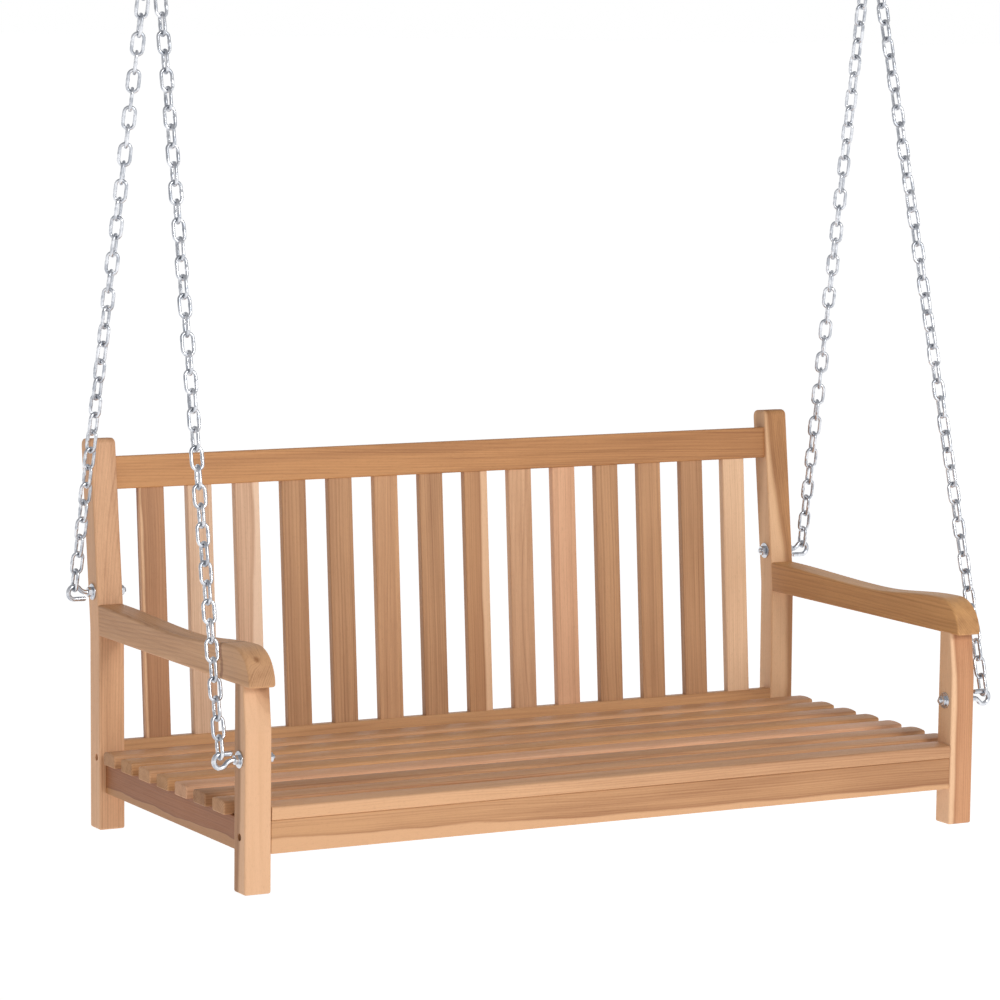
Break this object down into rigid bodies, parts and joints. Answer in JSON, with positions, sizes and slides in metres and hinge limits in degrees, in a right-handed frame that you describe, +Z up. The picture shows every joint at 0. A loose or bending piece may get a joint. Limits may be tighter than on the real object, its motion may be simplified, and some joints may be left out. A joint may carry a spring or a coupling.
{
  "type": "porch swing",
  "caption": "Slatted hardwood bench with curved arms and a raked back, hung on chains, rings and screw hooks from a ceiling; swings to and fro and sways sideways.",
  "frame": {"origin": "midway between the two ceiling hooks, on the ceiling surface", "axes": "+X along the bench to the right of the picture, +Y from the front of the seat to the back, +Z up"},
  "size_m": [1.2842, 0.5835, 1.466],
  "materials": {
    "teak_legs": "unfinished light teak, planed smooth",
    "teak_slats": "unfinished mid-brown teak, planed smooth",
    "teak_rails": "unfinished mid-brown teak, planed smooth",
    "zinc_steel": "bright zinc plate",
    "hook_steel": "bright zinc plate",
    "screw_steel": "plain steel in a dark counterbore"
  },
  "bodies": {
    "ceiling": {"left_hook": "hook_steel", "right_hook": "hook_steel"},
    "left_ring": {"left_ring": "zinc_steel"},
    "left_chains": {"left_front_chain": "zinc_steel", "left_back_chain": "zinc_steel"},
    "bench": {"left_back_post": "teak_legs", "right_back_post": "teak_legs", "left_front_leg": "teak_legs", "right_front_leg": "teak_legs", "left_armrest": "teak_rails", "right_armrest": "teak_rails", "top_rail": "teak_rails", "lower_back_rail": "teak_rails", "back_slat_1": "teak_slats", "back_slat_2": "teak_slats", "back_slat_3": "teak_slats", "back_slat_4": "teak_slats", "back_slat_5": "teak_slats", "back_slat_6": "teak_slats", "back_slat_7": "teak_slats", "back_slat_8": "teak_slats", "back_slat_9": "teak_slats", "back_slat_10": "teak_slats", "back_slat_11": "teak_slats", "back_slat_12": "teak_slats", "back_slat_13": "teak_slats", "back_slat_14": "teak_slats", "seat_slat_1": "teak_slats", "seat_slat_2": "teak_slats", "seat_slat_3": "teak_slats", "seat_slat_4": "teak_slats", "seat_slat_5": "teak_slats", "seat_slat_6": "teak_slats", "seat_slat_7": "teak_slats", "seat_slat_8": "teak_slats", "left_side_rail": "teak_rails", "right_side_rail": "teak_rails", "centre_bearer": "teak_rails", "front_apron": "teak_rails", "left_front_eyebolt": "zinc_steel", "right_front_eyebolt": "zinc_steel", "left_back_eyebolt": "zinc_steel", "right_back_eyebolt": "zinc_steel", "outer_nuts": "zinc_steel", "inner_nuts": "zinc_steel", "outer_washers": "zinc_steel", "inner_washers": "zinc_steel", "seat_screws": "screw_steel", "frame_screws": "screw_steel"},
    "right_chains": {"right_front_chain": "zinc_steel", "right_back_chain": "zinc_steel"},
    "right_ring": {"right_ring": "zinc_steel"}
  },
  "joints": [
    {"name": "swing", "type": "hinge", "parent": "ceiling", "child": "left_ring", "pos_m": [-0.597, 0, -0.05675], "axis": [1, 0, 0], "range_deg": [-30, 30]},
    {"name": "left_chain_sway", "type": "hinge", "parent": "left_ring", "child": "left_chains", "pos_m": [-0.59762, -0.00052, -0.09041], "axis": [0, 0.9522, 0.3054], "range_deg": [-5, 5]},
    {"name": "bench_level", "type": "hinge", "parent": "left_chains", "child": "bench", "pos_m": [-0.62919, -0.04806, -1.13267], "axis": [0, 0.9522, 0.3054], "range_deg": [-5.1, 5.1]},
    {"name": "right_chain_sway", "type": "hinge", "parent": "bench", "child": "right_chains", "pos_m": [0.62919, -0.04806, -1.13267], "axis": [0, 0.9522, 0.3054], "range_deg": [-5.1, 5.1]},
    {"name": "right_ring_level", "type": "hinge", "parent": "right_chains", "child": "right_ring", "pos_m": [0.59762, -0.00052, -0.09041], "axis": [0, 0.9522, 0.3054], "range_deg": [-5.3, 5.3]}
  ],
  "couplings": [
    {"joint": "bench_level", "follows": "left_chain_sway", "ratio": -0.94983},
    {"joint": "right_chain_sway", "follows": "left_chain_sway", "ratio": 0.94986},
    {"joint": "right_ring_level", "follows": "left_chain_sway", "ratio": -1}
  ]
}
